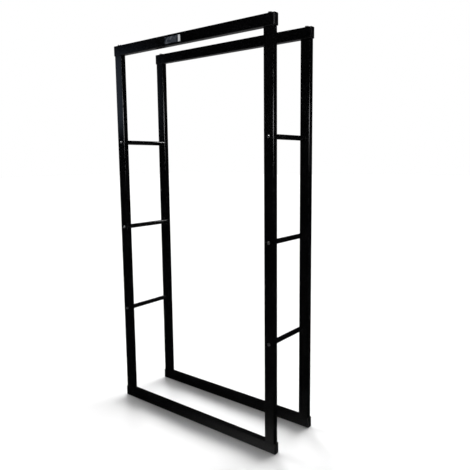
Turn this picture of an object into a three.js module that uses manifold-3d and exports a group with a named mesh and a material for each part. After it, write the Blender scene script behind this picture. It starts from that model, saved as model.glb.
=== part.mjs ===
// Firewood log rack: two upright rectangular frames of black rectangular steel tube, one in front
// and one behind, tied together by round rods. Logs are stacked between the posts and rest on the
// two bottom rails. Millimetres, +Z up, front towards -Y. The origin is on the floor, in the
// middle of the footprint.

import * as THREE from 'three';
import { mergeVertices } from 'three/addons/utils/BufferGeometryUtils.js';
import Module from 'manifold-3d';

const wasm = await Module();
wasm.setup();

// Overall sizes
const rackWidth = 800; // over the end caps
const rackDepth = 250; // front face of the front tubes to back face of the back tubes
const frameHeight = 1500; // floor to the top of the top rails

// Rectangular tube of the posts and rails
const tubeFace = 40; // the side seen from the front
const tubeDepth = 22; // the side seen from the end of the rack
const tubeWall = 1.2;
const tubeCorner = 2.2; // outer corner radius

// Round rods between the front and back posts
const rodDiameter = 18;
const rodLowest = 400; // floor to the axis of the lowest rod
const rodPitch = 355; // from one rod to the next
const rodNames = ['low', 'middle', 'high'];
const tappedDepth = 22; // threaded hole in each end of a rod

// End caps of the rails
const capFlange = 4.5; // plate that stands proud of the tube's end
const capEdge = 1.2; // rounding around the plate's outer face
const capWall = 2; // wall of the hollow plug

// Plugs in the ends of the posts, which the corner bolts screw into
const plugLength = 26;

// Corner bolts, with low flat heads
const boltShank = 6;
const boltHead = 14;
const boltHeadHeight = 4;
const boltBite = 20; // length of thread in the post's plug
const boltSocket = 5; // across the flats

// Screws of the rods, with domed heads
const screwShank = 6;
const screwHead = 12;
const screwHeadHeight = 3.6;
const screwRim = 0.9; // straight edge below the dome
const screwBite = 16; // length of thread in the rod
const screwSocket = 4; // across the flats

const socketShare = 0.55; // depth of a hexagonal socket over the height of its head
const headChamfer = 0.6;

// Blank sticker on the front top rail
const labelWidth = 80;
const labelHeight = 24;
const labelThickness = 0.3;
const labelLeftOfMiddle = 59;

// Fits
const gap = 0.3; // between faces that bear on each other, and around what sits in a hole
const toolGap = 0.5; // around a bolt head in its access hole
const capToBolt = 2; // inner end of a cap's plug to the nearest bolt head

// How finely round shapes are divided
const cornerSteps = 2;
const roundSteps = 16;
const holeSteps = 12;
const domeSteps = 3;

// Places that follow from the sizes
const postX = rackWidth / 2 - capFlange - tubeFace / 2;
const rowY = (rackDepth - tubeDepth) / 2;
const railLength = rackWidth - 2 * capFlange;
const topRailZ = frameHeight - tubeFace / 2;
const bottomRailZ = tubeFace / 2;
const postLength = frameHeight - 2 * tubeFace - 2 * gap;
const rodLength = rackDepth - 2 * tubeDepth - 2 * gap;
const capPlugLength = tubeFace / 2 - boltHead / 2 - capToBolt;
const rodHeights = rodNames.map((_, index) => rodLowest + index * rodPitch);

const steelCoat = { color: 0x0a0a0b, roughness: 0.22, metalness: 0.3 };
const screwCoat = { color: 0x121214, roughness: 0.3, metalness: 0.6 };
const capPlastic = { color: 0x1b1b1c, roughness: 0.5, metalness: 0 };
const plugPlastic = { color: 0x202020, roughness: 0.6, metalness: 0 };
const labelPaper = { color: 0x8d97a6, roughness: 0.6, metalness: 0 };

// ---- solids -------------------------------------------------------------------------------

function toSolid(geometry) {
  const bare = geometry.clone();
  bare.deleteAttribute('normal');
  bare.deleteAttribute('uv');
  const merged = mergeVertices(bare, 1e-4);
  return new wasm.Manifold(new wasm.Mesh({
    numProp: 3,
    vertProperties: Float32Array.from(merged.attributes.position.array),
    triVerts: Uint32Array.from(merged.index.array),
  }));
}

function toGeometry(solid) {
  const mesh = solid.getMesh();
  const geometry = new THREE.BufferGeometry();
  geometry.setAttribute('position', new THREE.BufferAttribute(mesh.vertProperties, mesh.numProp));
  geometry.setIndex(new THREE.BufferAttribute(mesh.triVerts, 1));
  geometry.computeVertexNormals();
  return geometry;
}

function cut(geometry, tools) {
  return toGeometry(tools.reduce((solid, tool) => solid.subtract(toSolid(tool)), toSolid(geometry)));
}

function join(first, second) {
  return toGeometry(toSolid(first).add(toSolid(second)));
}

// ---- outlines -----------------------------------------------------------------------------

function roundedRectangle(outline, width, height, radius) {
  const x = width / 2 - radius;
  const y = height / 2 - radius;
  const quarter = Math.PI / 2;
  outline.absarc(x, y, radius, 0, quarter);
  outline.absarc(-x, y, radius, quarter, 2 * quarter);
  outline.absarc(-x, -y, radius, 2 * quarter, 3 * quarter);
  outline.absarc(x, -y, radius, 3 * quarter, 4 * quarter);
  outline.closePath();
  return outline;
}

function hollowRectangle(width, height, radius, wall) {
  const outline = roundedRectangle(new THREE.Shape(), width, height, radius);
  const inside = roundedRectangle(
    new THREE.Path(), width - 2 * wall, height - 2 * wall, Math.max(radius - wall, wall / 4));
  outline.holes.push(inside);
  return outline;
}

function extrude(outline, length) {
  return new THREE.ExtrudeGeometry(outline, {
    depth: length, bevelEnabled: false, curveSegments: cornerSteps,
  });
}

function turned(profile) {
  const points = profile.map(([radius, height]) => new THREE.Vector2(radius, height));
  return new THREE.LatheGeometry(points, roundSteps);
}

// A drill along X, Y or Z, in the piece's own frame.
function drill(diameter, length, along) {
  const geometry = new THREE.CylinderGeometry(diameter / 2, diameter / 2, length, holeSteps);
  if (along === 'x') geometry.rotateZ(Math.PI / 2);
  if (along === 'z') geometry.rotateX(Math.PI / 2);
  return geometry;
}

function hexagonalSocket(acrossFlats, headHeight) {
  const depth = headHeight * socketShare;
  const radius = acrossFlats / Math.sqrt(3);
  const geometry = new THREE.CylinderGeometry(radius, radius, 2 * depth, 6);
  return geometry.rotateX(Math.PI / 2).translate(0, 0, headHeight);
}

// ---- pieces, each lying along its own Z ------------------------------------------------------

function tube(length) {
  const outline = hollowRectangle(tubeFace, tubeDepth, tubeCorner, tubeWall);
  return extrude(outline, length).translate(0, 0, -length / 2);
}

// A post stands on the middle of its length; a screw passes through both walls at each rod.
function postGeometry() {
  const holes = rodHeights.map((height) =>
    drill(screwShank + 2 * gap, 2 * tubeDepth, 'y').translate(0, 0, height - frameHeight / 2));
  return cut(tube(postLength), holes);
}

// A rail's own +X is up. The bolt of a top rail passes through both walls. The head of a bottom
// rail's bolt goes in through a wider hole from below, which reaches up to the upper wall that the
// head bears on.
function railGeometry(isBottom) {
  const upperWall = tubeFace / 2 - tubeWall;
  const holes = [-postX, postX].flatMap((place) => {
    const shankHole = drill(boltShank + 2 * gap, 2 * tubeFace, 'x').translate(0, 0, place);
    const headHole = drill(boltHead + 2 * toolGap, 2 * tubeFace, 'x')
      .translate(upperWall - gap - tubeFace, 0, place);
    return isBottom ? [shankHole, headHole] : [shankHole];
  });
  return cut(tube(railLength), holes);
}

// An end cap: a plate with a rounded outer edge, and a hollow plug that goes into the tube.
function capGeometry() {
  const plate = new THREE.ExtrudeGeometry(
    roundedRectangle(new THREE.Shape(), tubeFace, tubeDepth, tubeCorner),
    {
      depth: capFlange,
      bevelThickness: capEdge,
      bevelSize: capEdge,
      bevelOffset: -capEdge,
      bevelSegments: cornerSteps,
      curveSegments: cornerSteps,
    },
  ).translate(0, 0, -capEdge);
  const behindTube = new THREE.BoxGeometry(2 * tubeFace, 2 * tubeFace, 2 * capFlange);
  const flange = cut(plate, [behindTube.translate(0, 0, gap - capFlange)]);
  const slack = 2 * (tubeWall + gap);
  const plug = extrude(
    hollowRectangle(tubeFace - slack, tubeDepth - slack, tubeCorner - tubeWall, capWall),
    capPlugLength + 2 * gap,
  ).translate(0, 0, -capPlugLength);
  return join(flange, plug);
}

// The plug in a post's end, with the hole that takes the corner bolt.
function postPlugGeometry() {
  const slack = 2 * (tubeWall + gap);
  const outline = roundedRectangle(
    new THREE.Shape(), tubeFace - slack, tubeDepth - slack, tubeCorner - tubeWall);
  const block = extrude(outline, plugLength).translate(0, 0, -plugLength);
  return cut(block, [drill(boltShank + 2 * gap, 4 * plugLength, 'z')]);
}

// A corner bolt: its head stands on z = 0 and its shank goes down through the given grip.
function boltGeometry(grip) {
  const bolt = turned([
    [0, -grip - boltBite],
    [boltShank / 2, -grip - boltBite],
    [boltShank / 2, 0],
    [boltHead / 2, 0],
    [boltHead / 2, boltHeadHeight - headChamfer],
    [boltHead / 2 - headChamfer, boltHeadHeight],
    [0, boltHeadHeight],
  ]).rotateX(Math.PI / 2);
  return cut(bolt, [hexagonalSocket(boltSocket, boltHeadHeight)]);
}

// A rod's screw: a domed head on z = 0, and a shank that reaches through the post into the rod.
function screwGeometry() {
  const reach = tubeDepth + 2 * gap + screwBite;
  const flatRadius = screwSocket * 0.75; // the flat that the socket is sunk in
  const dome = Array.from({ length: domeSteps + 1 }, (_, step) => {
    const angle = (step / domeSteps) * (Math.PI / 2);
    return [
      flatRadius + (screwHead / 2 - flatRadius) * Math.cos(angle),
      screwRim + (screwHeadHeight - screwRim) * Math.sin(angle),
    ];
  });
  const screw = turned([
    [0, -reach],
    [screwShank / 2, -reach],
    [screwShank / 2, 0],
    [screwHead / 2, 0],
    ...dome,
    [0, screwHeadHeight],
  ]).rotateX(Math.PI / 2);
  return cut(screw, [hexagonalSocket(screwSocket, screwHeadHeight)]);
}

// A solid rod with a tapped hole in each end.
function rodGeometry() {
  const half = rodLength / 2;
  const bore = screwShank / 2 + gap;
  return turned([
    [0, tappedDepth - half],
    [bore, tappedDepth - half],
    [bore, -half],
    [rodDiameter / 2, -half],
    [rodDiameter / 2, half],
    [bore, half],
    [bore, half - tappedDepth],
    [0, half - tappedDepth],
  ]).rotateX(Math.PI / 2);
}

// ---- assembly -----------------------------------------------------------------------------

function piece(name, geometry, coat, position, rotation = [0, 0, 0]) {
  const mesh = new THREE.Mesh(geometry, new THREE.MeshStandardMaterial(coat));
  mesh.name = name;
  mesh.position.set(...position);
  mesh.rotation.set(...rotation);
  return mesh;
}

const quarterTurn = Math.PI / 2;
const sides = [['left', -1], ['right', 1]];
const rows = [['front', -1], ['back', 1]];

// One upright frame, built about its own middle plane.
function uprightFrame(row) {
  const frame = new THREE.Group();
  for (const level of ['bottom', 'top']) {
    const isBottom = level === 'bottom';
    const railZ = isBottom ? bottomRailZ : topRailZ;
    const inward = isBottom ? 1 : -1; // from the rail towards the middle of the frame
    const rail = `${row}_${level}_rail`;
    frame.add(piece(rail, railGeometry(isBottom), steelCoat, [0, 0, railZ], [0, -quarterTurn, 0]));
    const seatZ = isBottom ? tubeFace - tubeWall - gap : frameHeight + gap;
    const grip = isBottom ? tubeWall + 3 * gap : tubeFace + 2 * gap;
    for (const [side, sign] of sides) {
      frame.add(piece(`${rail}_cap_${side}`, capGeometry(), capPlastic,
        [sign * railLength / 2, 0, railZ], [0, sign * quarterTurn, 0]));
      frame.add(piece(`${row}_${side}_post_plug_${level}`, postPlugGeometry(), plugPlastic,
        [sign * postX, 0, railZ + inward * (tubeFace / 2 + gap)],
        [isBottom ? Math.PI : 0, 0, 0]));
      frame.add(piece(`${row}_${level}_bolt_${side}`, boltGeometry(grip), screwCoat,
        [sign * postX, 0, seatZ], [isBottom ? Math.PI : 0, 0, 0]));
    }
  }
  for (const [side, sign] of sides) {
    frame.add(piece(`${row}_${side}_post`, postGeometry(), steelCoat,
      [sign * postX, 0, frameHeight / 2]));
  }
  return frame;
}

// The rods of one side, each with a screw at its front end and one at its back end.
function rodSet(side, sign) {
  const set = new THREE.Group();
  rodHeights.forEach((height, index) => {
    const rod = `${side}_rod_${rodNames[index]}`;
    set.add(piece(rod, rodGeometry(), steelCoat, [0, 0, height], [quarterTurn, 0, 0]));
    for (const [row, away] of rows) {
      set.add(piece(`${rod}_screw_${row}`, screwGeometry(), screwCoat,
        [0, away * (rackDepth / 2 + gap), height], [-away * quarterTurn, 0, 0]));
    }
  });
  set.position.x = sign * postX;
  return set;
}

const rack = new THREE.Group();
for (const [row, away] of rows) {
  const frame = uprightFrame(row);
  frame.position.y = away * rowY;
  rack.add(frame);
}
for (const [side, sign] of sides) rack.add(rodSet(side, sign));
rack.add(piece('front_top_rail_label',
  new THREE.BoxGeometry(labelWidth, labelThickness, labelHeight), labelPaper,
  [-labelLeftOfMiddle, -(rackDepth / 2 + gap + labelThickness / 2), topRailZ]));

export default rack;
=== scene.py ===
"""A tall, narrow firewood rack of black powder-coated steel tube, dressed for a studio picture.

Two upright frames of rectangular tube stand one behind the other and are tied together by round
rods. Every piece that can be seen is modelled again here in fine detail, in the place and at the
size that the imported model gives, and dressed in its own finish. The plugs inside the posts keep their
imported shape.
"""

import logging
import math
from collections.abc import Callable, Iterator
from contextlib import contextmanager
from dataclasses import dataclass, field
from enum import Enum
from itertools import product
from typing import Any

import bmesh
import bpy
from mathutils import Matrix, Vector


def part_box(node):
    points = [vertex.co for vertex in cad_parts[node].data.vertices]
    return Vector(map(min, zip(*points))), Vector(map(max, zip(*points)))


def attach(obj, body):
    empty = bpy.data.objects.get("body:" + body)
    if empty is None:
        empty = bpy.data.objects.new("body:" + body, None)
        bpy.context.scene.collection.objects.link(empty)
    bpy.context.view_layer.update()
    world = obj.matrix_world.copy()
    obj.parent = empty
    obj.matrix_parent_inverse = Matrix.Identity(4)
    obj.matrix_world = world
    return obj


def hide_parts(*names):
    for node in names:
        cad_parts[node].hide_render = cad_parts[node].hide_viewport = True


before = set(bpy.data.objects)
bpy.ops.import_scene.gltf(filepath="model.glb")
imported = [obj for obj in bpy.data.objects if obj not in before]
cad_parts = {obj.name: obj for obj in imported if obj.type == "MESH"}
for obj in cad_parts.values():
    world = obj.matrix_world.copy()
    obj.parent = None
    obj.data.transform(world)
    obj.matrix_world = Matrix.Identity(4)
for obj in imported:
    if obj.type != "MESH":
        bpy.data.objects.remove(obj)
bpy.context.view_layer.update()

log = logging.getLogger("log_rack")

Triple = tuple[float, float, float]
Colour = Triple
Corners = tuple[Vector, Vector]

MM = 0.001
NEAR = 1e-6  # Points less than this apart, in metres, count as touching.
FACING = 0.9  # A face looks along an axis when its normal goes at least this far along it.
FLAT_WEIGHT = 80  # How far large flats lead the shading of the roundings beside them.
HEXAGON = 6


# ---- names ----------------------------------------------------------------------------------


class Axis(Enum):
    """The direction in which a bar-shaped piece runs."""

    X = 0
    Y = 1
    Z = 2


class Slot(Enum):
    """The record's material slots."""

    COATED_STEEL = "coated_steel"
    BLACK_SCREW = "black_screw"
    CAP_PLASTIC = "cap_plastic"
    PLUG_PLASTIC = "plug_plastic"
    BLANK_LABEL = "blank_label"


ROWS = ("front", "back")
SIDES = ("left", "right")
LEVELS = ("bottom", "top")
ROD_LEVELS = ("low", "middle", "high")


# ---- shader maths ---------------------------------------------------------------------------


class NodeSheet:
    """Adds nodes to one node tree."""

    def __init__(self, tree: bpy.types.NodeTree) -> None:
        """Starts the sheet.

        Args:
            tree: The node tree to fill.
        """
        self.tree = tree

    def node(self, kind: str, settings: dict[str, Any] | None = None,
             **values: Any) -> bpy.types.Node:
        """Adds one node.

        Args:
            kind: The node's type name.
            settings: The node's own properties, set before its sockets.
            values: What goes into its sockets, named as for fill.

        Returns:
            The new node.
        """
        made = self.tree.nodes.new(kind)
        for name, value in (settings or {}).items():
            setattr(made, name, value)
        self.fill(made, **values)
        return made

    def fill(self, node: bpy.types.Node, **values: Any) -> None:
        """Sets a node's sockets.

        Args:
            node: The node.
            values: What goes into its sockets, by socket name with "_" for a space, or "in0", "in1"
                for a socket's place.
        """
        for name, value in values.items():
            place = name[2:]
            key = int(place) if place.isdigit() else name.replace("_", " ")
            self.put(node.inputs[key], value)

    def put(self, socket: bpy.types.NodeSocket, value: Any) -> None:
        """Sets a socket.

        Args:
            socket: The input to set.
            value: A number, a vector, a colour without its alpha, or another node's output.
        """
        if isinstance(value, Signal):
            value = value.socket
        if isinstance(value, bpy.types.NodeSocket):
            self.tree.links.new(value, socket)
        elif socket.type == "RGBA":
            socket.default_value = (*value, 1.0)
        else:
            socket.default_value = value

    def signal(self, kind: str, settings: dict[str, Any] | None = None, output: str | int = 0,
               **values: Any) -> "Signal":
        """Adds a node and returns one of its outputs as a signal."""
        return Signal(self, self.node(kind, settings, **values).outputs[output])

    def mix_colour(self, share: Any, first: Any, second: Any) -> bpy.types.NodeSocket:
        """Blends two colours.

        Args:
            share: How much of the second colour shows, from 0 to 1.
            first: The first colour.
            second: The second colour.

        Returns:
            The blended colour's socket.
        """
        made = self.node("ShaderNodeMix", {"data_type": "RGBA"}, in0=share, in6=first, in7=second)
        return made.outputs[2]


class Signal:
    """A number that varies over a surface. Its operators add Math nodes."""

    def __init__(self, sheet: NodeSheet, socket: bpy.types.NodeSocket) -> None:
        """Wraps a socket.

        Args:
            sheet: The sheet that the socket's node is on.
            socket: The output that gives the number.
        """
        self.sheet = sheet
        self.socket = socket

    def _math(self, operation: str, first: Any, second: Any = 0.0) -> "Signal":
        """Adds one Math node."""
        return self.sheet.signal("ShaderNodeMath", {"operation": operation}, in0=first, in1=second)

    def __add__(self, other: Any) -> "Signal":
        """Returns self + other."""
        return self._math("ADD", self, other)

    __radd__ = __add__

    def __sub__(self, other: Any) -> "Signal":
        """Returns self - other."""
        return self._math("SUBTRACT", self, other)

    def __rsub__(self, other: Any) -> "Signal":
        """Returns other - self."""
        return self._math("SUBTRACT", other, self)

    def __mul__(self, other: Any) -> "Signal":
        """Returns self * other."""
        return self._math("MULTIPLY", self, other)

    __rmul__ = __mul__

    def sine(self) -> "Signal":
        """Returns the sine of the number."""
        return self._math("SINE", self)

    def direction_to(self, other: "Signal") -> "Signal":
        """Returns the angle of the direction (other, self), in radians."""
        return self._math("ARCTAN2", self, other)

    def size(self) -> "Signal":
        """Returns the number without its sign."""
        return self._math("ABSOLUTE", self)

    def rise(self, low: float, high: float) -> "Signal":
        """Returns a smooth step.

        Args:
            low: Where the step starts. It may be more than high, and then the step falls.
            high: Where the step ends.

        Returns:
            A signal from 0 to 1.
        """
        settings = {"interpolation_type": "SMOOTHSTEP"}
        if low < high:
            return self.sheet.signal("ShaderNodeMapRange", settings,
                                     Value=self, From_Min=low, From_Max=high)
        return self.sheet.signal("ShaderNodeMapRange", settings, Value=self,
                                 From_Min=high, From_Max=low, To_Min=1.0, To_Max=0.0)


# ---- finishes -------------------------------------------------------------------------------


@dataclass(frozen=True)
class Finish:
    """What every finish has: a name, and a material with one Principled shader."""

    name: str

    def material(self) -> bpy.types.Material:
        """Builds the material, or finds it if it is already built.

        Returns:
            The finish's one material.
        """
        made = bpy.data.materials.get(self.name)
        if made is not None:
            return made
        made = bpy.data.materials.new(self.name)
        made.use_nodes = True
        made.node_tree.nodes.clear()
        sheet = NodeSheet(made.node_tree)
        shader = sheet.node("ShaderNodeBsdfPrincipled")
        self.paint(sheet, shader)
        sheet.node("ShaderNodeOutputMaterial", Surface=shader.outputs[0])
        return made

    def paint(self, sheet: NodeSheet, shader: bpy.types.Node) -> None:
        """Connects the finish's own nodes to the shader."""
        raise NotImplementedError

    @staticmethod
    def place(sheet: NodeSheet, stretch: Triple | None = None) -> bpy.types.NodeSocket:
        """Gives the point on the piece that is being shaded.

        Args:
            sheet: The material's sheet.
            stretch: What the point is multiplied by in X, Y and Z, if at all.

        Returns:
            The point's socket, in metres unless it is stretched.
        """
        point = sheet.node("ShaderNodeTexCoord").outputs["Object"]
        if stretch is None:
            return point
        return sheet.node("ShaderNodeMapping", Vector=point, Scale=stretch).outputs[0]

    @staticmethod
    def noise(sheet: NodeSheet, point: Any, per_metre: float, detail: float = 2.0,
              roughness: float = 0.5) -> Signal:
        """Returns a noise from 0 to 1 with the given number of lumps to the metre."""
        return sheet.signal("ShaderNodeTexNoise", Vector=point, Scale=per_metre, Detail=detail,
                            Roughness=roughness)

    @staticmethod
    def bump(sheet: NodeSheet, height: Any, distance: float, strength: float,
             under: bpy.types.NodeSocket | None = None) -> bpy.types.NodeSocket:
        """Turns a height into a surface normal.

        Args:
            sheet: The material's sheet.
            height: The height, from 0 to 1.
            distance: How deep a height of 1 is, in metres.
            strength: How much of the bump shows, from 0 to 1.
            under: Another bump's normal that this one lies on.

        Returns:
            The normal's socket.
        """
        made = sheet.node("ShaderNodeBump", Height=height, Distance=distance, Strength=strength)
        if under is not None:
            sheet.put(made.inputs["Normal"], under)
        return made.outputs[0]

    @staticmethod
    def marked(sheet: NodeSheet, attribute: str) -> Signal:
        """Returns a number that the piece's mesh carries at its vertices."""
        return sheet.signal("ShaderNodeAttribute", {"attribute_name": attribute}, output="Fac")


@dataclass(frozen=True)
class PieceFinish(Finish):
    """The finish of one of the rack's own pieces, with the record's slot that it stands for."""

    slot: Slot


@dataclass(frozen=True)
class PowderCoat(PieceFinish):
    """Glossy black powder coat: a faint orange peel, a little dust, and thinner film on the edges."""

    name: str = "black_powder_coat"
    slot: Slot = Slot.COATED_STEEL
    deep: Colour = (0.0009, 0.0009, 0.0010)
    pale: Colour = (0.0022, 0.0022, 0.0025)
    dust: Colour = (0.016, 0.0155, 0.015)
    thin_edge: Colour = (0.010, 0.010, 0.0105)
    gloss: float = 0.11
    clear_film: float = 0.35
    film_roughness: float = 0.06
    refraction: float = 1.5
    clouds_per_metre: float = 9.0
    peel_per_metre: float = 420.0
    grain_per_metre: float = 2600.0
    specks_per_metre: float = 160.0
    dust_patches_per_metre: float = 31.0
    wear_per_metre: float = 40.0
    rub_marks_per_metre: Triple = (900.0, 900.0, 14.0)
    peel_depth: float = 0.12 * MM
    peel_strength: float = 0.14
    grain_depth: float = 0.03 * MM

    def paint(self, sheet: NodeSheet, shader: bpy.types.Node) -> None:
        """Connects the finish's own nodes to the shader."""
        point = self.place(sheet)
        cloud = self.noise(sheet, point, self.clouds_per_metre, detail=3.0)
        peel = self.noise(sheet, point, self.peel_per_metre, detail=1.5, roughness=0.4)
        fine = self.noise(sheet, point, self.grain_per_metre)
        speck = sheet.signal("ShaderNodeTexVoronoi", Vector=point, Scale=self.specks_per_metre,
                             Randomness=1.0)
        patch = self.noise(sheet, point, self.dust_patches_per_metre)
        dusty = speck.rise(0.13, 0.05) * patch.rise(0.5, 0.7)
        streak = self.noise(sheet, self.place(sheet, self.rub_marks_per_metre), 1.0)
        rub = streak.rise(0.66, 0.74)
        wear = self.noise(sheet, point, self.wear_per_metre)
        worn = self.marked(sheet, "edge") * wear.rise(0.50, 0.75)
        tone = sheet.mix_colour(cloud.rise(0.3, 0.7), self.deep, self.pale)
        tone = sheet.mix_colour(dusty * 0.7, tone, self.dust)
        tone = sheet.mix_colour(worn * 0.6, tone, self.thin_edge)
        rough = (self.gloss + (cloud - 0.5) * 0.08 + fine * 0.04 + dusty * 0.3 + rub * 0.05
                 + worn * 0.08)
        film = self.clear_film - worn * 0.2 - dusty * 0.2
        skin = self.bump(sheet, peel, self.peel_depth, self.peel_strength)
        grain = self.bump(sheet, dusty + fine * 0.3, self.grain_depth, 0.3, skin)
        sheet.fill(shader, Base_Color=tone, Roughness=rough, Metallic=0.0, IOR=self.refraction,
                   Coat_Weight=film, Coat_Roughness=self.film_roughness, Normal=grain)


@dataclass(frozen=True)
class BlackedScrew(PieceFinish):
    """Blackened steel, satin, rubbed paler on its edges, with the fine rings that turning leaves."""

    name: str = "blackened_screw_steel"
    slot: Slot = Slot.BLACK_SCREW
    dark: Colour = (0.13, 0.13, 0.137)
    rubbed: Colour = (0.30, 0.297, 0.29)
    satin: float = 0.22
    ring_pitch: float = 0.35 * MM
    skin_depth: float = 0.02 * MM
    blotches_per_metre: float = 600.0
    grain_per_metre: float = 5200.0

    def paint(self, sheet: NodeSheet, shader: bpy.types.Node) -> None:
        """Connects the finish's own nodes to the shader."""
        point = self.place(sheet)
        from_axis = self.marked(sheet, "from_axis")
        rings = (from_axis * (2 * math.pi / self.ring_pitch)).sine() * 0.5 + 0.5
        blotch = self.noise(sheet, point, self.blotches_per_metre, detail=3.0)
        grain = self.noise(sheet, point, self.grain_per_metre)
        worn = self.marked(sheet, "edge") * blotch.rise(0.42, 0.62)
        tone = sheet.mix_colour(worn * 0.7, self.dark, self.rubbed)
        tone = sheet.mix_colour(blotch * 0.25, tone, self.rubbed)
        rough = self.satin + blotch * 0.10 + grain * 0.04 - worn * 0.04
        turned = self.bump(sheet, rings, self.skin_depth, 0.35)
        sheet.fill(shader, Base_Color=tone, Metallic=0.9 + worn * 0.1, Roughness=rough,
                   Normal=self.bump(sheet, grain, self.skin_depth, 0.2, turned))


@dataclass(frozen=True)
class MouldedPlastic(PieceFinish):
    """Black moulded plastic with the fine spark-eroded texture of its mould, and a painted sheen on its
    rounded rim.
    """

    name: str = "moulded_cap_plastic"
    slot: Slot = Slot.CAP_PLASTIC
    dark: Colour = (0.0035, 0.0035, 0.0038)
    # The paler tone, used for the random clouding and for the painted sheen on the rim.
    chalky_and_sheen: Colour = (0.0085, 0.0085, 0.009)
    roughness: float = 0.36
    clouds_per_metre: float = 55.0
    pits_per_metre: float = 1500.0
    pit_depth: float = 0.08 * MM
    grain_per_metre: float = 3200.0
    grain_depth: float = 0.03 * MM

    def paint(self, sheet: NodeSheet, shader: bpy.types.Node) -> None:
        """Connects the finish's own nodes to the shader."""
        point = self.place(sheet)
        pits = sheet.signal("ShaderNodeTexVoronoi", {"feature": "SMOOTH_F1"}, Vector=point,
                            Scale=self.pits_per_metre, Smoothness=0.6)
        cloud = self.noise(sheet, point, self.clouds_per_metre, detail=3.0)
        grain = self.noise(sheet, point, self.grain_per_metre, detail=3.0)
        # The rim is made smoother, and its colour is lifted towards the paler tone as a painted sheen.
        polish_and_painted_sheen = self.marked(sheet, "edge") * 0.6
        share = cloud.rise(0.35, 0.7) * 0.6 + polish_and_painted_sheen * 0.4
        rough = self.roughness + grain * 0.12 + cloud * 0.1 - polish_and_painted_sheen * 0.12
        skin = self.bump(sheet, pits, self.pit_depth, 0.4)
        sheet.fill(shader, Base_Color=sheet.mix_colour(share, self.dark, self.chalky_and_sheen),
                   Roughness=rough, Normal=self.bump(sheet, grain, self.grain_depth, 0.25, skin))


@dataclass(frozen=True)
class BlankSticker(PieceFinish):
    """A blank paper sticker: a grey-blue field, mottled most on its left, and a white right end."""

    name: str = "blank_sticker"
    slot: Slot = Slot.BLANK_LABEL
    white_from: float = 0.0
    field_dark: Colour = (0.008, 0.014, 0.026)
    field_pale: Colour = (0.20, 0.22, 0.25)
    white: Colour = (0.84, 0.86, 0.88)
    satin: float = 0.34
    fade: float = 45.0 * MM
    blur: float = 0.4 * MM
    mottles_per_metre: float = 75.0
    fibres_per_metre: float = 1800.0
    fibre_depth: float = 0.04 * MM

    def paint(self, sheet: NodeSheet, shader: bpy.types.Node) -> None:
        """Connects the finish's own nodes to the shader."""
        point = self.place(sheet)
        across = sheet.signal("ShaderNodeSeparateXYZ", Vector=point, output="X")
        mottle = self.noise(sheet, point, self.mottles_per_metre, detail=4.0, roughness=0.55)
        flat_lying = self.place(sheet, (1.0, 1.0, 4.0))
        fibre = self.noise(sheet, flat_lying, self.fibres_per_metre, detail=3.0)
        left = across.rise(self.white_from, self.white_from - self.fade)
        share = mottle.rise(0.38, 0.66) * (left * 0.85 + 0.15)
        tone = sheet.mix_colour(share, self.field_dark, self.field_pale)
        end = across.rise(self.white_from - self.blur, self.white_from + self.blur)
        paper = sheet.mix_colour(fibre * 0.2, self.white, self.field_pale)
        sheet.fill(shader, Base_Color=sheet.mix_colour(end, tone, paper),
                   Roughness=self.satin + fibre * 0.12 + mottle * 0.06,
                   Normal=self.bump(sheet, fibre, self.fibre_depth, 0.3))


@dataclass(frozen=True)
class StudioPaint(Finish):
    """The matt white paint of the studio floor."""

    name: str = "white_studio_paint"
    white: Colour = (0.80, 0.80, 0.80)
    scuffed: Colour = (0.7, 0.7, 0.7)

    def paint(self, sheet: NodeSheet, shader: bpy.types.Node) -> None:
        """Connects the finish's own nodes to the shader."""
        soft = self.noise(sheet, self.place(sheet), 1.5)
        sheet.fill(shader, Base_Color=sheet.mix_colour(soft * 0.04, self.white, self.scuffed),
                   Roughness=0.9 + soft * 0.05, Specular_IOR_Level=0.0)


# ---- modelling bench ------------------------------------------------------------------------


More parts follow.
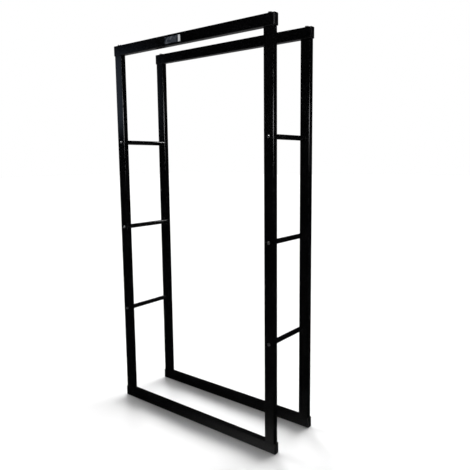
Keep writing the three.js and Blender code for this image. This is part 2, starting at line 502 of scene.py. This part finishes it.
class Bench:
    """The hand-modelling moves that the pieces are made with."""

    @staticmethod
    def take(piece: bpy.types.Object) -> None:
        """Makes one piece the only one selected, and the active one."""
        bpy.ops.object.select_all(action="DESELECT")
        piece.select_set(True)
        bpy.context.view_layer.objects.active = piece

    @staticmethod
    def settle(piece: bpy.types.Object) -> None:
        """Moves a piece's place, turn and scale into its mesh."""
        Bench.take(piece)
        bpy.ops.object.transform_apply(location=True, rotation=True, scale=True)

    @staticmethod
    def block(name: str, size: Vector) -> bpy.types.Object:
        """Adds a box of the given size about the origin."""
        bpy.ops.object.select_all(action="DESELECT")
        bpy.ops.mesh.primitive_cube_add(size=1.0, location=(0.0, 0.0, 0.0), scale=size)
        piece = bpy.context.active_object
        piece.name = piece.data.name = name
        Bench.settle(piece)
        return piece

    @staticmethod
    def bar(name: str, sides: int, radius: float, low: float, high: float,
            along: Axis = Axis.Z, centre: tuple[float, float] = (0.0, 0.0)) -> bpy.types.Object:
        """Adds a round or many-sided bar.

        Args:
            name: The piece's name.
            sides: How many sides it has.
            radius: Its radius, in metres.
            low: Where it starts along its axis.
            high: Where it ends along its axis.
            along: The axis that it follows.
            centre: Where the axis stands in the other two directions, in order.

        Returns:
            The bar.
        """
        quarter = math.pi / 2
        turns = {Axis.X: (0.0, quarter, 0.0), Axis.Y: (quarter, 0.0, 0.0), Axis.Z: (0.0, 0.0, 0.0)}
        place = list(centre)
        place.insert(along.value, (low + high) / 2)
        bpy.ops.object.select_all(action="DESELECT")
        bpy.ops.mesh.primitive_cylinder_add(
            vertices=sides, radius=radius, depth=high - low, location=place, rotation=turns[along])
        piece = bpy.context.active_object
        piece.name = piece.data.name = name
        Bench.settle(piece)
        return piece

    @staticmethod
    @contextmanager
    def editing(piece: bpy.types.Object) -> Iterator[None]:
        """Opens a piece in edit mode with nothing selected, and closes it afterwards."""
        Bench.take(piece)
        bpy.ops.object.mode_set(mode="EDIT")
        bpy.ops.mesh.select_mode(type="FACE")
        bpy.ops.mesh.select_all(action="DESELECT")
        yield
        bpy.ops.object.mode_set(mode="OBJECT")

    @staticmethod
    def pick_faces(piece: bpy.types.Object, wanted: Callable[[Vector, Vector], bool]) -> None:
        """Selects faces by a test.

        Args:
            piece: The piece, which is open in edit mode.
            wanted: The test, given a face's middle and its normal.
        """
        bpy.ops.mesh.select_mode(type="FACE")
        mesh = bmesh.from_edit_mesh(piece.data)
        for face in mesh.faces:
            face.select_set(wanted(face.calc_center_median(), face.normal))
        mesh.select_flush_mode()
        bmesh.update_edit_mesh(piece.data)

    @staticmethod
    def pick_edges(piece: bpy.types.Object, wanted: Callable[[Vector, Vector], bool]) -> None:
        """Selects edges by a test.

        Args:
            piece: The piece, which is open in edit mode.
            wanted: The test, given an edge's two ends.
        """
        bpy.ops.mesh.select_mode(type="EDGE")
        mesh = bmesh.from_edit_mesh(piece.data)
        for edge in mesh.edges:
            edge.select_set(wanted(edge.verts[0].co, edge.verts[1].co))
        mesh.select_flush_mode()
        bmesh.update_edit_mesh(piece.data)

    @staticmethod
    def round_edges(radius: float, segments: int) -> None:
        """Rounds the selected edges."""
        bpy.ops.mesh.bevel(offset=radius, segments=segments, profile=0.5, affect="EDGES",
                           clamp_overlap=True)

    @staticmethod
    def inset(by: float) -> None:
        """Shrinks the selected faces inside themselves."""
        bpy.ops.mesh.inset(thickness=by, use_even_offset=True)

    @staticmethod
    def extrude(step: Triple) -> None:
        """Draws the selected faces out along a step."""
        bpy.ops.mesh.extrude_region_move(TRANSFORM_OT_translate={"value": step})

    @staticmethod
    def apply(piece: bpy.types.Object, kind: str, **settings: Any) -> None:
        """Adds a modifier and applies it.

        Args:
            piece: The piece to change.
            kind: The modifier's type.
            settings: Its settings, by name.
        """
        Bench.take(piece)
        modifier = piece.modifiers.new(kind.lower(), kind)
        for name, value in settings.items():
            setattr(modifier, name, value)
        bpy.ops.object.modifier_apply(modifier=modifier.name)

    @staticmethod
    def cut(piece: bpy.types.Object, tools: list[bpy.types.Object]) -> None:
        """Cuts tools out of a piece.

        Args:
            piece: The piece to cut.
            tools: The shapes to cut out. They are thrown away afterwards.
        """
        for tool in tools:
            Bench.apply(piece, "BOOLEAN", operation="DIFFERENCE", solver="EXACT", object=tool)
            bpy.data.meshes.remove(tool.data)

    @staticmethod
    def smooth(piece: bpy.types.Object, angle_deg: float = 40.0) -> None:
        """Shades a piece smooth over its roundings and keeps its flats flat.

        Args:
            piece: The piece to shade.
            angle_deg: The least angle between two faces that stays a sharp edge, in degrees.
        """
        Bench.take(piece)
        bpy.ops.object.shade_smooth_by_angle(angle=math.radians(angle_deg))
        Bench.apply(piece, "WEIGHTED_NORMAL", keep_sharp=True, weight=FLAT_WEIGHT)

    @staticmethod
    def mark(piece: bpy.types.Object, attribute: str, rule: Callable[[Vector], float]) -> None:
        """Writes a number at each vertex, for the finish to read.

        Args:
            piece: The piece, whose mesh gets the numbers.
            attribute: The name that the finish reads them by.
            rule: The number for a vertex, given its place.
        """
        layer = piece.data.attributes.new(attribute, "FLOAT", "POINT")
        for vertex in piece.data.vertices:
            layer.data[vertex.index].value = rule(vertex.co)

    @staticmethod
    def copy_to(pattern: bpy.types.Object, name: str, place: Vector,
                turn: Triple = (0.0, 0.0, 0.0)) -> bpy.types.Object:
        """Copies a finished pattern, with a mesh of its own, and puts the copy's place in its mesh.

        Args:
            pattern: The piece to copy, standing at the origin.
            name: The copy's name.
            place: Where the pattern's origin goes.
            turn: How the copy is turned about its origin, in radians.

        Returns:
            The copy.
        """
        piece = pattern.copy()
        piece.data = pattern.data.copy()
        piece.name = piece.data.name = name
        bpy.context.scene.collection.objects.link(piece)
        piece.location = place
        piece.rotation_euler = turn
        Bench.settle(piece)
        return piece

    @staticmethod
    def discard(pattern: bpy.types.Object) -> None:
        """Removes a pattern once its copies are made."""
        bpy.data.meshes.remove(pattern.data)


def finish_piece(piece: bpy.types.Object, finish: PieceFinish, *nodes: str) -> None:
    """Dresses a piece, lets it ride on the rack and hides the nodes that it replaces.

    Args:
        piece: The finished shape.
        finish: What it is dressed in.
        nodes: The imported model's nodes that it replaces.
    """
    piece.data.materials.clear()
    piece.data.materials.append(finish.material())
    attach(piece, "root")
    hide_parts(*nodes)
    log.info("%s: %d faces", piece.name, len(piece.data.polygons))


def box(node: str) -> Corners:
    """Returns a node's lowest and highest corners."""
    low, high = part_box(node)
    return Vector(low), Vector(high)


def middle(node: str) -> Vector:
    """Returns the middle of a node's box."""
    low, high = box(node)
    return (low + high) / 2


def extent(node: str) -> Vector:
    """Returns the size of a node's box."""
    low, high = box(node)
    return high - low


def on_side(node: str, along: Axis, high_side: bool, depth: float = 0.0) -> Vector:
    """Finds the middle of one side of a node's box.

    Args:
        node: The node's name.
        along: The axis that the side faces along.
        high_side: Whether it is the side at the axis's high end.
        depth: How far below the side the spot lies.

    Returns:
        The spot.
    """
    low, high = box(node)
    spot = middle(node)
    run = along.value
    spot[run] = high[run] - depth if high_side else low[run] + depth
    return spot


# ---- sub-assemblies -------------------------------------------------------------------------


@dataclass
class TubeStock:
    """Rectangular steel tube: thin walls, rounded corners and a slightly softened cut end."""

    wall: float = 1.2 * MM
    corner: float = 2.2 * MM
    corner_steps: int = 6
    end_rounding: float = 0.25 * MM
    end_steps: int = 2
    rounding_share: float = 0.8
    coat: PieceFinish = field(default_factory=PowderCoat)

    def length_of(self, name: str, size: Vector, along: Axis) -> bpy.types.Object:
        """Models a length of tube about the origin.

        Args:
            name: The piece's name.
            size: Its size in X, Y and Z.
            along: The axis that it runs along.

        Returns:
            The tube, not yet smoothed.
        """
        run = along.value
        half = size[run] / 2
        piece = Bench.block(name, size)
        with Bench.editing(piece):
            Bench.pick_faces(piece, lambda spot, normal: abs(normal[run]) > FACING)
            bpy.ops.mesh.delete(type="FACE")
            Bench.pick_edges(piece, lambda a, b: abs(a[run] - b[run]) > half)
            Bench.round_edges(self.corner, self.corner_steps)
        Bench.apply(piece, "SOLIDIFY", thickness=self.wall, offset=-1.0, use_even_offset=True)
        with Bench.editing(piece):
            bpy.ops.mesh.select_all(action="SELECT")
            bpy.ops.mesh.normals_make_consistent(inside=False)
            outline = self.on_outline(size, along)
            Bench.pick_edges(piece, lambda a, b: outline(a) and outline(b)
                             and abs(abs(a[run]) - half) < NEAR and abs(a[run] - b[run]) < NEAR)
            Bench.round_edges(self.end_rounding, self.end_steps)
        return piece

    def on_outline(self, size: Vector, along: Axis) -> Callable[[Vector], bool]:
        """Makes a test for points on the tube's outer skin.

        Args:
            size: The tube's size in X, Y and Z.
            along: The axis that it runs along.

        Returns:
            The test, given a point.
        """
        first, second = (axis.value for axis in Axis if axis is not along)

        def test(point: Vector) -> bool:
            """Tells whether a point lies on the rounded outline, and not on the inner wall."""
            over_a = abs(point[first]) - (size[first] / 2 - self.corner)
            over_b = abs(point[second]) - (size[second] / 2 - self.corner)
            reach = math.hypot(max(over_a, 0.0), max(over_b, 0.0))
            return reach > self.corner - self.wall / 2

        return test

    def complete(self, piece: bpy.types.Object, size: Vector, along: Axis) -> None:
        """Marks the rounded corners for the finish and smooths the piece.

        Args:
            piece: The tube, cut and drilled.
            size: Its size in X, Y and Z.
            along: The axis that it runs along.
        """
        first, second = (axis.value for axis in Axis if axis is not along)

        def edge(point: Vector) -> float:
            """Returns 1 on a rounding and 0 on a flat."""
            rounding = self.corner * self.rounding_share
            near_a = abs(point[first]) > size[first] / 2 - rounding
            near_b = abs(point[second]) > size[second] / 2 - rounding
            return 1.0 if near_a and near_b else 0.0

        Bench.mark(piece, "edge", edge)
        Bench.smooth(piece)


@dataclass
class Posts:
    """The four posts, each a tube between two rails, drilled front to back for the rod screws."""

    stock: TubeStock = field(default_factory=TubeStock)
    hole_radius: float = 3.3 * MM
    hole_sides: int = 24

    def build(self) -> None:
        """Models one post and sets up all four."""
        size = extent("front_left_post")
        base = middle("front_left_post")
        pattern = self.stock.length_of("post_pattern", size, Axis.Z)
        drills = []
        for level in ROD_LEVELS:
            height = middle(f"left_rod_{level}").z - base.z
            drills.append(Bench.bar("drill", self.hole_sides, self.hole_radius, -size.y, size.y,
                                    Axis.Y, (0.0, height)))
        Bench.cut(pattern, drills)
        self.stock.complete(pattern, size, Axis.Z)
        for row, side in product(ROWS, SIDES):
            node = f"{row}_{side}_post"
            piece = Bench.copy_to(pattern, f"{node}_tube", middle(node))
            finish_piece(piece, self.stock.coat, node)
        Bench.discard(pattern)


@dataclass
class Rails:
    """The four rails, each a tube over the full width, drilled up and down for the corner bolts."""

    stock: TubeStock = field(default_factory=TubeStock)
    hole_radius: float = 3.3 * MM
    hole_sides: int = 24
    head_room_radius: float = 7.5 * MM
    head_room_sides: int = 32

    def pattern(self, level: str) -> bpy.types.Object:
        """Models a rail about the origin.

        Args:
            level: Whether it is the "bottom" rail, with holes for the bolts' heads, or the "top" one.

        Returns:
            The rail.
        """
        node = f"front_{level}_rail"
        size = extent(node)
        piece = self.stock.length_of(f"{level}_rail_pattern", size, Axis.X)
        drills = []
        for side in SIDES:
            centre = (middle(f"front_{side}_post").x, 0.0)
            drills.append(Bench.bar("drill", self.hole_sides, self.hole_radius, -size.z, size.z,
                                    Axis.Z, centre))
            if level == "bottom":
                drills.append(Bench.bar("drill", self.head_room_sides, self.head_room_radius,
                                        -size.z, 0.0, Axis.Z, centre))
        Bench.cut(piece, drills)
        self.stock.complete(piece, size, Axis.X)
        return piece

    def build(self) -> None:
        """Models a top and a bottom rail and sets up both frames' rails."""
        for level in LEVELS:
            pattern = self.pattern(level)
            for row in ROWS:
                node = f"{row}_{level}_rail"
                piece = Bench.copy_to(pattern, f"{node}_tube", middle(node))
                finish_piece(piece, self.stock.coat, node)
            Bench.discard(pattern)


@dataclass
class EndCaps:
    """The eight plastic caps in the rail ends: a softly crowned plate and a hollow plug."""

    flange: float = 4.5 * MM
    corner: float = 2.2 * MM
    corner_steps: int = 6
    edge_radius: float = 1.1 * MM
    edge_steps: int = 5
    crown: float = 0.25 * MM
    crown_inset: float = 2.6 * MM
    seat_gap: float = 0.3 * MM
    plug_inset: float = 1.5 * MM
    plug_wall: float = 2.0 * MM
    plastic: PieceFinish = field(default_factory=MouldedPlastic)

    def pattern(self) -> bpy.types.Object:
        """Models a cap whose plate faces +X, its outer face at X = 0."""
        whole = extent("front_top_rail_cap_right")
        plate = self.flange - self.seat_gap - self.crown
        plug = whole.x - self.flange + self.seat_gap
        front = -self.crown
        piece = Bench.block("cap_pattern", Vector((plate, whole.y, whole.z)))
        piece.location.x = -plate / 2 - self.crown
        Bench.settle(piece)
        with Bench.editing(piece):
            Bench.pick_edges(piece, lambda a, b: abs(a.x - b.x) > plate / 2)
            Bench.round_edges(self.corner, self.corner_steps)
            Bench.pick_faces(piece, lambda spot, normal: normal.x < -FACING)
            Bench.inset(self.plug_inset)
            Bench.extrude((-plug, 0.0, 0.0))
            Bench.inset(self.plug_wall)
            Bench.extrude((plug, 0.0, 0.0))
            Bench.pick_edges(piece, lambda a, b: all(abs(p.x - front) < NEAR for p in (a, b)))
            Bench.round_edges(self.edge_radius, self.edge_steps)
            Bench.pick_faces(piece, lambda spot, normal: normal.x > FACING and spot.x > front - NEAR)
            Bench.inset(self.crown_inset)
            bpy.ops.transform.translate(value=(self.crown, 0.0, 0.0))

        def edge(point: Vector) -> float:
            """Returns 1 on the plate's rounded rim, and 0 elsewhere."""
            outside = max(abs(point.y) - whole.y / 2, abs(point.z) - whole.z / 2)
            return 1.0 if outside > -self.edge_radius and point.x > -self.flange / 2 else 0.0

        Bench.mark(piece, "edge", edge)
        Bench.smooth(piece)
        return piece

    def build(self) -> None:
        """Models one cap and sets one in each rail end."""
        pattern = self.pattern()
        for row, level, side in product(ROWS, LEVELS, SIDES):
            node = f"{row}_{level}_rail_cap_{side}"
            spot = on_side(node, Axis.X, side == "right")
            turn = 0.0 if side == "right" else math.pi
            piece = Bench.copy_to(pattern, f"{node}_plug", spot, (0.0, 0.0, turn))
            finish_piece(piece, self.plastic, node)
        Bench.discard(pattern)


@dataclass
class HeadShape:
    """A screw or bolt head and its shank."""

    head_radius: float
    head_height: float
    top_rounding: float
    rounding_steps: int
    shank_radius: float
    shank_length: float
    socket_width: float
    socket_depth: float
    sides: int = 40
    sharp_deg: float = 32.0
    mouth_reach: float = 1.02

    def pattern(self, name: str) -> bpy.types.Object:
        """Models the fastener along +Z, with the underside of its head at the origin.

        Args:
            name: The pattern's name.

        Returns:
            The fastener, marked for its finish and smoothed.
        """
        piece = Bench.bar(name, self.sides, self.head_radius, 0.0, self.head_height)
        top = self.head_height
        with Bench.editing(piece):
            Bench.pick_edges(piece, lambda a, b: a.z > top - NEAR and b.z > top - NEAR)
            Bench.round_edges(self.top_rounding, self.rounding_steps)
            Bench.pick_faces(piece, lambda spot, normal: normal.z < -FACING)
            Bench.inset(self.head_radius - self.shank_radius)
            Bench.extrude((0.0, 0.0, -self.shank_length))
        socket_radius = self.socket_width / math.sqrt(3)
        Bench.cut(piece, [Bench.bar("key", HEXAGON, socket_radius, top - self.socket_depth, 2 * top)])
        rim = self.head_radius - self.top_rounding
        mouth = socket_radius * self.mouth_reach

        def edge(point: Vector) -> float:
            """Returns 1 on the rounded rim and round the socket's mouth, and 0 elsewhere."""
            reach = math.hypot(point.x, point.y)
            on_top = point.z > top - self.top_rounding - NEAR
            return 1.0 if on_top and (reach > rim + NEAR or reach < mouth) else 0.0

        Bench.mark(piece, "edge", edge)
        Bench.mark(piece, "from_axis", lambda point: math.hypot(point.x, point.y))
        Bench.smooth(piece, self.sharp_deg)
        return piece


@dataclass
class RodScrews:
    """The twelve screws that hold the rods, with domed heads on the posts' outer faces."""

    head_height: float = 3.6 * MM
    dome: float = 2.65 * MM
    shank_radius: float = 3.0 * MM
    steel: PieceFinish = field(default_factory=BlackedScrew)

    def build(self) -> None:
        """Models one screw and puts one at each end of every rod."""
        size = extent("left_rod_low_screw_front")
        shape = HeadShape(
            head_radius=size.z / 2, head_height=self.head_height,
            top_rounding=self.dome, rounding_steps=8,
            shank_radius=self.shank_radius, shank_length=size.y - self.head_height,
            socket_width=4.0 * MM, socket_depth=2.0 * MM)
        pattern = shape.pattern("rod_screw_pattern")
        for side, level, row in product(SIDES, ROD_LEVELS, ROWS):
            node = f"{side}_rod_{level}_screw_{row}"
            seat = on_side(node, Axis.Y, row == "back", self.head_height)
            turn = math.pi / 2 if row == "front" else -math.pi / 2
            piece = Bench.copy_to(pattern, f"{node}_domed", seat, (turn, 0.0, 0.0))
            finish_piece(piece, self.steel, node)
        Bench.discard(pattern)


@dataclass
class CornerBolts:
    """The eight bolts that hold the rails to the posts, with low flat heads."""

    head_height: float = 4.0 * MM
    rounding: float = 0.6 * MM
    shank_radius: float = 3.0 * MM
    steel: PieceFinish = field(default_factory=BlackedScrew)

    def build(self) -> None:
        """Models a long bolt for the top rails and a short one for the bottom rails."""
        for level in LEVELS:
            size = extent(f"front_{level}_bolt_left")
            shape = HeadShape(
                head_radius=size.x / 2, head_height=self.head_height,
                top_rounding=self.rounding, rounding_steps=3,
                shank_radius=self.shank_radius, shank_length=size.z - self.head_height,
                socket_width=5.0 * MM, socket_depth=2.2 * MM)
            pattern = shape.pattern(f"{level}_bolt_pattern")
            turn = 0.0 if level == "top" else math.pi
            for row, side in product(ROWS, SIDES):
                node = f"{row}_{level}_bolt_{side}"
                seat = on_side(node, Axis.Z, level == "top", self.head_height)
                piece = Bench.copy_to(pattern, f"{node}_flat", seat, (turn, 0.0, 0.0))
                finish_piece(piece, self.steel, node)
            Bench.discard(pattern)


@dataclass
class Rods:
    """The six round rods, rounded at the ends and bored for their screws."""

    end_rounding: float = 0.6 * MM
    end_steps: int = 3
    bore_radius: float = 3.3 * MM
    bore_depth: float = 22.0 * MM
    sides: int = 48
    rim_reach: float = 0.99
    worn_reach: float = 1.5
    coat: PieceFinish = field(default_factory=PowderCoat)

    def pattern(self) -> bpy.types.Object:
        """Models a rod along Y about the origin."""
        size = extent("left_rod_low")
        half = size.y / 2
        piece = Bench.bar("rod_pattern", self.sides, size.z / 2, -half, half, Axis.Y)
        with Bench.editing(piece):
            for end in (-1.0, 1.0):
                Bench.pick_faces(piece, lambda spot, normal: normal.y * end > FACING)
                Bench.inset(size.z / 2 - self.bore_radius)
                Bench.extrude((0.0, -end * self.bore_depth, 0.0))
            rim = size.z / 2 * self.rim_reach
            Bench.pick_edges(piece, lambda a, b: a.y * b.y > 0 and all(
                abs(p.y) > half - NEAR and math.hypot(p.x, p.z) > rim for p in (a, b)))
            Bench.round_edges(self.end_rounding, self.end_steps)
        ends = half - self.end_rounding * self.worn_reach
        Bench.mark(piece, "edge", lambda point: 1.0 if abs(point.y) > ends else 0.0)
        Bench.smooth(piece)
        return piece

    def build(self) -> None:
        """Models one rod and sets up all six."""
        pattern = self.pattern()
        for side, level in product(SIDES, ROD_LEVELS):
            node = f"{side}_rod_{level}"
            piece = Bench.copy_to(pattern, f"{node}_bar", middle(node))
            finish_piece(piece, self.coat, node)
        Bench.discard(pattern)


@dataclass
class PostPlugs:
    """The plugs inside the post ends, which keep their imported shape."""

    plastic: PieceFinish = field(default_factory=lambda: MouldedPlastic(
        name="plug_nylon", slot=Slot.PLUG_PLASTIC, roughness=0.55))

    def build(self) -> None:
        """Dresses the eight plugs."""
        for row, side, level in product(ROWS, SIDES, LEVELS):
            plug = bpy.data.objects[f"{row}_{side}_post_plug_{level}"]
            plug.data.materials.clear()
            plug.data.materials.append(self.plastic.material())


@dataclass
class Sticker:
    """The blank sticker on the front top rail, with rounded corners and a hair of thickness."""

    node: str = "front_top_rail_label"
    corner: float = 2.0 * MM
    corner_steps: int = 6
    thickness: float = 0.16 * MM
    stand_off: float = 0.75
    white_share: float = 0.14

    def build(self) -> None:
        """Models the sticker on the rail's face."""
        low, high = box(self.node)
        size = high - low
        rail_face = box("front_top_rail")[0].y
        piece = Bench.block(f"{self.node}_sheet", Vector((size.x, self.thickness, size.z)))
        with Bench.editing(piece):
            Bench.pick_edges(piece, lambda a, b: abs(a.y - b.y) > self.thickness / 2)
            Bench.round_edges(self.corner, self.corner_steps)
        Bench.smooth(piece)
        centre = middle(self.node)
        piece.location = (centre.x, rail_face - self.thickness * self.stand_off, centre.z)
        Bench.settle(piece)
        blank = BlankSticker(white_from=high.x - size.x * self.white_share)
        finish_piece(piece, blank, self.node)


# ---- studio ---------------------------------------------------------------------------------


@dataclass
class StudioCamera:
    """The camera, a little to the right of the rack and a little above its middle."""

    place: Triple = (1.3543, -1.5160, 1.0322)
    heading_deg: float = 37.378
    tilt_deg: float = -7.108
    roll_deg: float = -0.414
    lens_mm: float = 39.10
    sensor_mm: float = 36.0
    shift: tuple[float, float] = (-0.02954, -0.02343)
    nearest: float = 0.01
    farthest: float = 100.0

    def build(self) -> None:
        """Makes the scene's camera."""
        data = bpy.data.cameras.new("studio_camera")
        data.lens = self.lens_mm
        data.sensor_width = self.sensor_mm
        data.shift_x, data.shift_y = self.shift
        data.clip_start, data.clip_end = self.nearest, self.farthest
        camera = bpy.data.objects.new("studio_camera", data)
        bpy.context.scene.collection.objects.link(camera)
        turn = (Matrix.Rotation(math.radians(self.heading_deg), 4, "Z")
                @ Matrix.Rotation(math.radians(90.0 + self.tilt_deg), 4, "X")
                @ Matrix.Rotation(math.radians(self.roll_deg), 4, "Z"))
        camera.matrix_world = Matrix.Translation(self.place) @ turn
        bpy.context.scene.camera = camera


@dataclass
class Panel:
    """A soft light panel of the studio's surroundings, as it shows in polished surfaces."""

    bearing_deg: float
    half_width_deg: float
    low_deg: float
    high_deg: float
    strength: float
    softness_deg: float = 6.0
    colour: Colour = (1.0, 1.0, 1.0)


@dataclass
class Lamp:
    """A broad, distant lamp that lights the floor past the rack."""

    bearing_deg: float
    height_deg: float
    strength: float
    spread_deg: float = 24.0


@dataclass
class GlossLamp:
    """A small lamp high in front of the rack, for glints on the domed heads."""

    place: Triple
    aim: Triple
    watts: float
    radius: float
    cone_deg: float


def toward(bearing_deg: float, height_deg: float) -> Vector:
    """Turns a bearing and a height into a direction.

    Args:
        bearing_deg: The bearing in degrees, 0 in front of the rack and 90 at its right.
        height_deg: The height above the floor, in degrees.

    Returns:
        The direction, one metre long.
    """
    bearing, height = math.radians(bearing_deg), math.radians(height_deg)
    level = math.cos(height)
    return Vector((math.sin(bearing) * level, -math.cos(bearing) * level, math.sin(height)))


@dataclass
class Studio:
    """A white floor under soft light, with darker surroundings that the gloss picks up."""

    floor_size: float = 60.0
    floor_drop: float = 0.2 * MM
    sky_strength: float = 0.06
    lamps: tuple[Lamp, ...] = (
        Lamp(155.0, 20.0, 1.29),
        Lamp(180.0, 20.0, 1.29),
        Lamp(205.0, 20.0, 1.66),
        Lamp(230.0, 20.0, 3.15),
        Lamp(270.0, 20.0, 2.51),
        Lamp(180.0, 34.0, 1.73, 34.0),
    )
    glints: tuple[GlossLamp, ...] = (
        GlossLamp((-0.15, -0.90, 2.00), (-0.37, -0.13, 1.24), 280.0, 0.22, 30.0),
        GlossLamp((0.30, -0.90, 2.00), (0.37, -0.13, 1.18), 430.0, 0.24, 20.0),
    )
    background: Colour = (1.0, 1.0, 1.0)
    gloom: Colour = (0.006, 0.006, 0.007)
    panels: tuple[Panel, ...] = (
        Panel(38.0, 34.0, 1.2, 4.8, 8.0, 2.8, (1.0, 1.0, 1.04)),
        Panel(-61.5, 13.0, 2.8, 10.3, 0.28, 1.3, (0.70, 0.86, 1.16)),
        Panel(-142.0, 24.0, -40.0, 4.0, 0.15),
        Panel(-142.0, 30.0, 8.0, 30.0, 0.008),
        Panel(-50.0, 45.0, -58.0, -36.0, 0.45, 10.0),
        Panel(0.0, 180.0, -90.0, -50.0, 0.30, 12.0),
        Panel(0.0, 180.0, 62.0, 90.0, 0.35, 10.0),
    )

    def build(self) -> None:
        """Builds the floor, the lamps and the surroundings."""
        self.lay_floor()
        for lamp in self.lamps:
            self.hang(lamp)
        for glint in self.glints:
            self.aim(glint)
        self.surround()

    def lay_floor(self) -> None:
        """Lays the floor just under the rack."""
        bpy.ops.object.select_all(action="DESELECT")
        bpy.ops.mesh.primitive_plane_add(size=self.floor_size, location=(0.0, 0.0, -self.floor_drop))
        floor = bpy.context.active_object
        floor.name = "studio_floor"
        floor.data.materials.append(StudioPaint().material())
        floor.visible_glossy = False

    def hang(self, lamp: Lamp) -> None:
        """Hangs one broad lamp. It doesn't show in the gloss; the panels do."""
        data = bpy.data.lights.new("broad_lamp", "SUN")
        data.angle = math.radians(lamp.spread_deg)
        data.energy = lamp.strength
        light = bpy.data.objects.new("broad_lamp", data)
        bpy.context.scene.collection.objects.link(light)
        travel = -toward(lamp.bearing_deg, lamp.height_deg)
        light.rotation_euler = travel.to_track_quat("-Z", "Y").to_euler()
        light.visible_glossy = False

    def aim(self, glint: GlossLamp) -> None:
        """Aims one small lamp at a head. It shows in the gloss and adds no light to matt colour."""
        data = bpy.data.lights.new("gloss_lamp", "SPOT")
        data.energy = glint.watts
        data.shadow_soft_size = glint.radius
        data.spot_size = math.radians(glint.cone_deg)
        data.spot_blend = 1.0
        light = bpy.data.objects.new("gloss_lamp", data)
        bpy.context.scene.collection.objects.link(light)
        light.location = glint.place
        beam = Vector(glint.aim) - Vector(glint.place)
        light.rotation_euler = beam.to_track_quat("-Z", "Y").to_euler()
        light.visible_diffuse = False

    def surround(self) -> None:
        """Builds the surroundings: plain white behind, soft light all round, panels in the gloss."""
        world = bpy.data.worlds.new("studio_surroundings")
        bpy.context.scene.world = world
        world.use_nodes = True
        world.cycles.sampling_method = "NONE"
        world.node_tree.nodes.clear()
        sheet = NodeSheet(world.node_tree)
        view = sheet.node("ShaderNodeTexCoord").outputs["Generated"]
        parts = sheet.node("ShaderNodeSeparateXYZ", Vector=view)
        east, north, up = (Signal(sheet, parts.outputs[i]) for i in range(3))
        height = sheet.signal("ShaderNodeMath", {"operation": "ARCSINE"}, in0=up)
        shine: Any = self.gloom
        for panel in self.panels:
            bearing = math.radians(panel.bearing_deg)
            ahead = east * math.sin(bearing) - north * math.cos(bearing)
            aside = east * math.cos(bearing) + north * math.sin(bearing)
            away = aside.direction_to(ahead).size()
            soft = math.radians(panel.softness_deg)
            half = math.radians(panel.half_width_deg)
            low, high = math.radians(panel.low_deg), math.radians(panel.high_deg)
            inside = height.rise(low, low + soft) * height.rise(high + soft, high)
            if panel.half_width_deg < 180.0:
                inside = inside * away.rise(half + soft, half)
            light = tuple(channel * panel.strength for channel in panel.colour)
            shine = sheet.mix_colour(inside, shine, light)
        rays = sheet.node("ShaderNodeLightPath")
        sky = (self.sky_strength,) * 3
        colour = sheet.mix_colour(rays.outputs["Is Glossy Ray"], sky, shine)
        colour = sheet.mix_colour(rays.outputs["Is Camera Ray"], colour, self.background)
        back = sheet.node("ShaderNodeBackground", Color=colour)
        sheet.node("ShaderNodeOutputWorld", Surface=back.outputs[0])


def main() -> None:
    """Builds the camera, the rack's pieces and the studio."""
    logging.basicConfig(level=logging.INFO, format="%(name)s: %(message)s")
    log.info("%d nodes in the packed model", len(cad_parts))
    StudioCamera().build()
    for assembly in (Posts(), Rails(), EndCaps(), Rods(), RodScrews(), CornerBolts(), PostPlugs(),
                     Sticker()):
        log.info("building %s", type(assembly).__name__)
        assembly.build()
    Studio().build()
    bpy.context.scene.view_settings.view_transform = "Standard"


if __name__ == "__main__":
    main()
